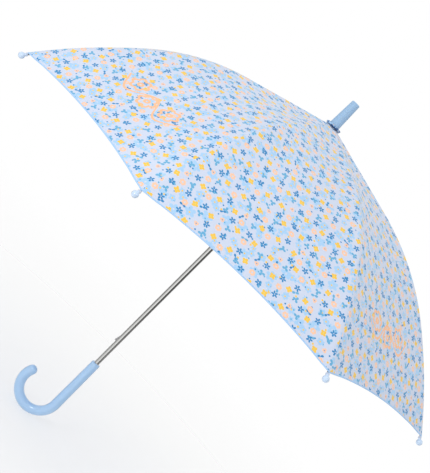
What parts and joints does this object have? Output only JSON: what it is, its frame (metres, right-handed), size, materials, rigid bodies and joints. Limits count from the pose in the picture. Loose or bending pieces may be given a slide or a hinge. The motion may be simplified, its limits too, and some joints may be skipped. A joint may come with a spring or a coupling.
{
  "type": "children's umbrella",
  "caption": "Small stick umbrella with a folding rib frame, a domed printed canopy with scalloped hem, ball rib tips, a ferrule and a hooked handle, shown open.",
  "frame": {"origin": "on the shaft's axis, level with the lowest point of the hook, umbrella open and upright", "axes": "+Z along the shaft from the hook to the ferrule; -X is the side that the hook curls to; rib 1 lies 15 degrees from +X towards -Y"},
  "size_m": [0.8162, 0.8162, 0.6906],
  "materials": {
    "shaft_steel": "polished plated steel tube",
    "rib_steel": "zinc plated pressed channel",
    "spring_steel": "bare spring steel",
    "pivot_wire": "bright drawn wire",
    "handle_plastic": "smooth moulded light blue",
    "ferrule_plastic": "satin moulded light blue",
    "tip_plastic": "moulded pale blue",
    "fitting_plastic": "moulded off-white",
    "canopy_cloth": "woven polyester printed with small flowers",
    "rosette_cloth": "gathered woven polyester",
    "strap_cloth": "folded woven polyester"
  },
  "bodies": {
    "root": {"shaft": "shaft_steel", "handle": "handle_plastic", "top_notch": "fitting_plastic", "top_notch_wire": "pivot_wire", "ferrule": "ferrule_plastic", "crown_patch": "canopy_cloth", "crown_rosette": "rosette_cloth", "stop_pin": "pivot_wire", "top_catch_pin": "pivot_wire", "bottom_catch_pin": "pivot_wire"},
    "runner": {"runner": "fitting_plastic", "runner_wire": "pivot_wire"},
    "top_catch": {"top_catch": "spring_steel"},
    "bottom_catch": {"bottom_catch": "spring_steel"},
    "rib_1": {"rib_1": "rib_steel", "rib_tip_1": "tip_plastic", "rib_rivet_1": "pivot_wire", "canopy_panel_1": "canopy_cloth"},
    "stretcher_1": {"stretcher_1": "rib_steel"},
    "rib_2": {"rib_2": "rib_steel", "rib_tip_2": "tip_plastic", "rib_rivet_2": "pivot_wire", "canopy_panel_2": "canopy_cloth"},
    "stretcher_2": {"stretcher_2": "rib_steel"},
    "rib_3": {"rib_3": "rib_steel", "rib_tip_3": "tip_plastic", "rib_rivet_3": "pivot_wire", "canopy_panel_3": "canopy_cloth", "closing_strap": "strap_cloth", "strap_stud": "tip_plastic"},
    "stretcher_3": {"stretcher_3": "rib_steel"},
    "rib_4": {"rib_4": "rib_steel", "rib_tip_4": "tip_plastic", "rib_rivet_4": "pivot_wire", "canopy_panel_4": "canopy_cloth"},
    "stretcher_4": {"stretcher_4": "rib_steel"},
    "rib_5": {"rib_5": "rib_steel", "rib_tip_5": "tip_plastic", "rib_rivet_5": "pivot_wire", "canopy_panel_5": "canopy_cloth"},
    "stretcher_5": {"stretcher_5": "rib_steel"},
    "rib_6": {"rib_6": "rib_steel", "rib_tip_6": "tip_plastic", "rib_rivet_6": "pivot_wire", "canopy_panel_6": "canopy_cloth"},
    "stretcher_6": {"stretcher_6": "rib_steel"},
    "rib_7": {"rib_7": "rib_steel", "rib_tip_7": "tip_plastic", "rib_rivet_7": "pivot_wire", "canopy_panel_7": "canopy_cloth"},
    "stretcher_7": {"stretcher_7": "rib_steel"},
    "rib_8": {"rib_8": "rib_steel", "rib_tip_8": "tip_plastic", "rib_rivet_8": "pivot_wire", "canopy_panel_8": "canopy_cloth"},
    "stretcher_8": {"stretcher_8": "rib_steel"}
  },
  "joints": [
    {"name": "rib_1_fold", "type": "hinge", "parent": "root", "child": "rib_1", "pos_m": [0.00869, -0.00233, 0.63751], "axis": [0.2588, 0.9659, 0], "range_deg": [0, 59.82], "deforming": ["canopy_panel_1"]},
    {"name": "stretcher_1_turn", "type": "hinge", "parent": "rib_1", "child": "stretcher_1", "pos_m": [0.21751, -0.05828, 0.57304], "axis": [0.2588, 0.9659, 0], "range_deg": [-119.68, 0.04]},
    {"name": "rib_2_fold", "type": "hinge", "parent": "root", "child": "rib_2", "pos_m": [0.00779, 0.0045, 0.63751], "axis": [-0.5, 0.866, 0], "range_deg": [-0.02, 59.84], "deforming": ["canopy_panel_2"]},
    {"name": "stretcher_2_turn", "type": "hinge", "parent": "rib_2", "child": "stretcher_2", "pos_m": [0.19502, 0.11259, 0.57304], "axis": [-0.5, 0.866, 0], "range_deg": [-119.68, 0.04]},
    {"name": "rib_3_fold", "type": "hinge", "parent": "root", "child": "rib_3", "pos_m": [0.00233, 0.00869, 0.63751], "axis": [-0.9659, 0.2588, 0], "range_deg": [-0.02, 59.84], "deforming": ["canopy_panel_3", "closing_strap", "strap_stud"]},
    {"name": "stretcher_3_turn", "type": "hinge", "parent": "rib_3", "child": "stretcher_3", "pos_m": [0.05828, 0.21751, 0.57304], "axis": [-0.9659, 0.2588, 0], "range_deg": [-119.68, 0.04]},
    {"name": "rib_4_fold", "type": "hinge", "parent": "root", "child": "rib_4", "pos_m": [-0.0045, 0.00779, 0.63751], "axis": [-0.866, -0.5, 0], "range_deg": [-0.02, 59.84], "deforming": ["canopy_panel_4"]},
    {"name": "stretcher_4_turn", "type": "hinge", "parent": "rib_4", "child": "stretcher_4", "pos_m": [-0.11259, 0.19502, 0.57304], "axis": [-0.866, -0.5, 0], "range_deg": [-119.68, 0.04]},
    {"name": "rib_5_fold", "type": "hinge", "parent": "root", "child": "rib_5", "pos_m": [-0.00869, 0.00233, 0.63751], "axis": [-0.2588, -0.9659, 0], "range_deg": [-0.02, 59.84], "deforming": ["canopy_panel_5"]},
    {"name": "stretcher_5_turn", "type": "hinge", "parent": "rib_5", "child": "stretcher_5", "pos_m": [-0.21751, 0.05828, 0.57304], "axis": [-0.2588, -0.9659, 0], "range_deg": [-119.68, 0.04]},
    {"name": "rib_6_fold", "type": "hinge", "parent": "root", "child": "rib_6", "pos_m": [-0.00779, -0.0045, 0.63751], "axis": [0.5, -0.866, 0], "range_deg": [-0.02, 59.84], "deforming": ["canopy_panel_6"]},
    {"name": "stretcher_6_turn", "type": "hinge", "parent": "rib_6", "child": "stretcher_6", "pos_m": [-0.19502, -0.11259, 0.57304], "axis": [0.5, -0.866, 0], "range_deg": [-119.68, 0.04]},
    {"name": "rib_7_fold", "type": "hinge", "parent": "root", "child": "rib_7", "pos_m": [-0.00233, -0.00869, 0.63751], "axis": [0.9659, -0.2588, 0], "range_deg": [-0.02, 59.84], "deforming": ["canopy_panel_7"]},
    {"name": "stretcher_7_turn", "type": "hinge", "parent": "rib_7", "child": "stretcher_7", "pos_m": [-0.05828, -0.21751, 0.57304], "axis": [0.9659, -0.2588, 0], "range_deg": [-119.68, 0.04]},
    {"name": "rib_8_fold", "type": "hinge", "parent": "root", "child": "rib_8", "pos_m": [0.0045, -0.00779, 0.63751], "axis": [0.866, 0.5, 0], "range_deg": [-0.02, 59.84], "deforming": ["canopy_panel_8"]},
    {"name": "stretcher_8_turn", "type": "hinge", "parent": "rib_8", "child": "stretcher_8", "pos_m": [0.11259, -0.19502, 0.57304], "axis": [0.866, 0.5, 0], "range_deg": [-119.68, 0.04]},
    {"name": "runner_turn", "type": "hinge", "parent": "stretcher_1", "child": "runner", "pos_m": [0.00869, -0.00233, 0.50858], "axis": [0.2588, 0.9659, 0], "range_deg": [-0.02, 59.84]},
    {"name": "top_catch_press", "type": "hinge", "parent": "root", "child": "top_catch", "pos_m": [-0.00193, -0.00025, 0.48378], "axis": [-0.1305, 0.9914, 0], "range_deg": [0, 9], "stiffness_Nm_per_rad": 0.15, "springref_deg": -8.59},
    {"name": "bottom_catch_press", "type": "hinge", "parent": "root", "child": "bottom_catch", "pos_m": [-0.00193, -0.00025, 0.19571], "axis": [0.1305, -0.9914, 0], "range_deg": [0, 9], "stiffness_Nm_per_rad": 0.15, "springref_deg": -8.59}
  ],
  "couplings": [
    {"joint": "stretcher_1_turn", "follows": "rib_1_fold", "ratio": -2},
    {"joint": "rib_2_fold", "follows": "rib_1_fold", "ratio": 1},
    {"joint": "stretcher_2_turn", "follows": "rib_1_fold", "ratio": -2},
    {"joint": "rib_3_fold", "follows": "rib_1_fold", "ratio": 1},
    {"joint": "stretcher_3_turn", "follows": "rib_1_fold", "ratio": -2},
    {"joint": "rib_4_fold", "follows": "rib_1_fold", "ratio": 1},
    {"joint": "stretcher_4_turn", "follows": "rib_1_fold", "ratio": -2},
    {"joint": "rib_5_fold", "follows": "rib_1_fold", "ratio": 1},
    {"joint": "stretcher_5_turn", "follows": "rib_1_fold", "ratio": -2},
    {"joint": "rib_6_fold", "follows": "rib_1_fold", "ratio": 1},
    {"joint": "stretcher_6_turn", "follows": "rib_1_fold", "ratio": -2},
    {"joint": "rib_7_fold", "follows": "rib_1_fold", "ratio": 1},
    {"joint": "stretcher_7_turn", "follows": "rib_1_fold", "ratio": -2},
    {"joint": "rib_8_fold", "follows": "rib_1_fold", "ratio": 1},
    {"joint": "stretcher_8_turn", "follows": "rib_1_fold", "ratio": -2},
    {"joint": "runner_turn", "follows": "rib_1_fold", "ratio": 1}
  ]
}
